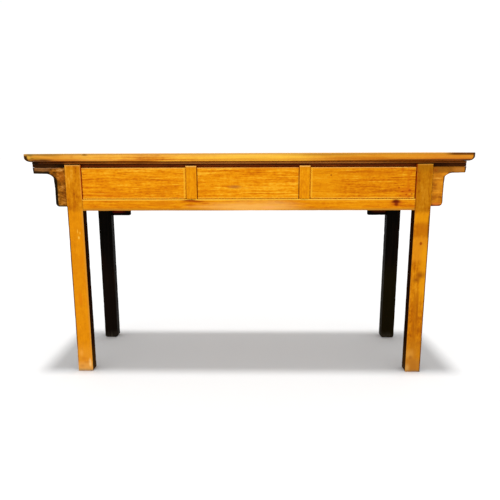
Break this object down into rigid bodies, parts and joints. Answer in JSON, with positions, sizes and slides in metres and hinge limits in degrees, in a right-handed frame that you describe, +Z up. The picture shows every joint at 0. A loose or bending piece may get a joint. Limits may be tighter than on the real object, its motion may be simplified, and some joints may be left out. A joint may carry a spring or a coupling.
{
  "type": "altar table",
  "caption": "Long narrow Chinese altar table with a moulded framed top, straight legs, cavetto spandrels at the overhangs and a row of handleless drawers that pull out.",
  "frame": {"origin": "on the floor, at the centre of the table's footprint", "axes": "+X along the table's length, +Y towards its back (the drawers open towards -Y), +Z up"},
  "size_m": [1.63, 0.454, 0.85],
  "materials": {
    "top_wood": "waxed golden elm, light on the worn edge",
    "skirt_wood": "waxed brown elm",
    "frame_wood": "waxed honey-orange elm, grain along the piece",
    "drawer_front_wood": "waxed honey-orange elm with lying grain",
    "bracket_wood": "weathered olive-brown elm",
    "dark_lacquered_wood": "thin brown-black lacquer, worn through on the edges",
    "drawer_box_wood": "bare pale softwood, aged",
    "peg_bamboo": "split bamboo, end grain"
  },
  "bodies": {
    "table": {"back_bracket_left": "dark_lacquered_wood", "back_bracket_right": "dark_lacquered_wood", "back_panel": "dark_lacquered_wood", "bottom_rail_back": "dark_lacquered_wood", "bottom_rail_front": "frame_wood", "end_apron_left": "bracket_wood", "end_apron_right": "bracket_wood", "joint_pegs": "peg_bamboo", "leg_back_left": "dark_lacquered_wood", "leg_back_right": "dark_lacquered_wood", "leg_front_left": "frame_wood", "leg_front_right": "frame_wood", "runner_end_left": "dark_lacquered_wood", "runner_end_right": "dark_lacquered_wood", "runner_mid_left": "dark_lacquered_wood", "runner_mid_right": "dark_lacquered_wood", "side_panel_left": "dark_lacquered_wood", "side_panel_right": "dark_lacquered_wood", "side_rail_lower_left": "dark_lacquered_wood", "side_rail_lower_right": "dark_lacquered_wood", "side_rail_upper_left": "dark_lacquered_wood", "side_rail_upper_right": "dark_lacquered_wood", "skirt_back": "skirt_wood", "skirt_front": "skirt_wood", "skirt_left": "skirt_wood", "skirt_right": "skirt_wood", "spandrel_back_left": "bracket_wood", "spandrel_back_right": "bracket_wood", "spandrel_front_left": "bracket_wood", "spandrel_front_right": "bracket_wood", "stile_left": "frame_wood", "stile_right": "frame_wood", "top_batten_end_left": "dark_lacquered_wood", "top_batten_end_right": "dark_lacquered_wood", "top_batten_mid_left": "dark_lacquered_wood", "top_batten_mid_right": "dark_lacquered_wood", "top_board_back": "top_wood", "top_board_front": "top_wood", "top_end_left": "top_wood", "top_end_right": "top_wood", "top_rail_back": "top_wood", "top_rail_front": "top_wood", "upper_rail_back": "dark_lacquered_wood", "upper_rail_front": "dark_lacquered_wood"},
    "drawer_left": {"drawer_left_front": "drawer_front_wood", "drawer_left_side_left": "drawer_box_wood", "drawer_left_side_right": "drawer_box_wood", "drawer_left_back": "drawer_box_wood", "drawer_left_bottom": "drawer_box_wood"},
    "drawer_middle": {"drawer_middle_front": "drawer_front_wood", "drawer_middle_side_left": "drawer_box_wood", "drawer_middle_side_right": "drawer_box_wood", "drawer_middle_back": "drawer_box_wood", "drawer_middle_bottom": "drawer_box_wood"},
    "drawer_right": {"drawer_right_front": "drawer_front_wood", "drawer_right_side_left": "drawer_box_wood", "drawer_right_side_right": "drawer_box_wood", "drawer_right_back": "drawer_box_wood", "drawer_right_bottom": "drawer_box_wood"}
  },
  "joints": [
    {"name": "drawer_left_slide", "type": "slide", "parent": "table", "child": "drawer_left", "axis": [0, -1, 0], "range_m": [0, 0.3]},
    {"name": "drawer_middle_slide", "type": "slide", "parent": "table", "child": "drawer_middle", "axis": [0, -1, 0], "range_m": [0, 0.3]},
    {"name": "drawer_right_slide", "type": "slide", "parent": "table", "child": "drawer_right", "axis": [0, -1, 0], "range_m": [0, 0.3]}
  ]
}
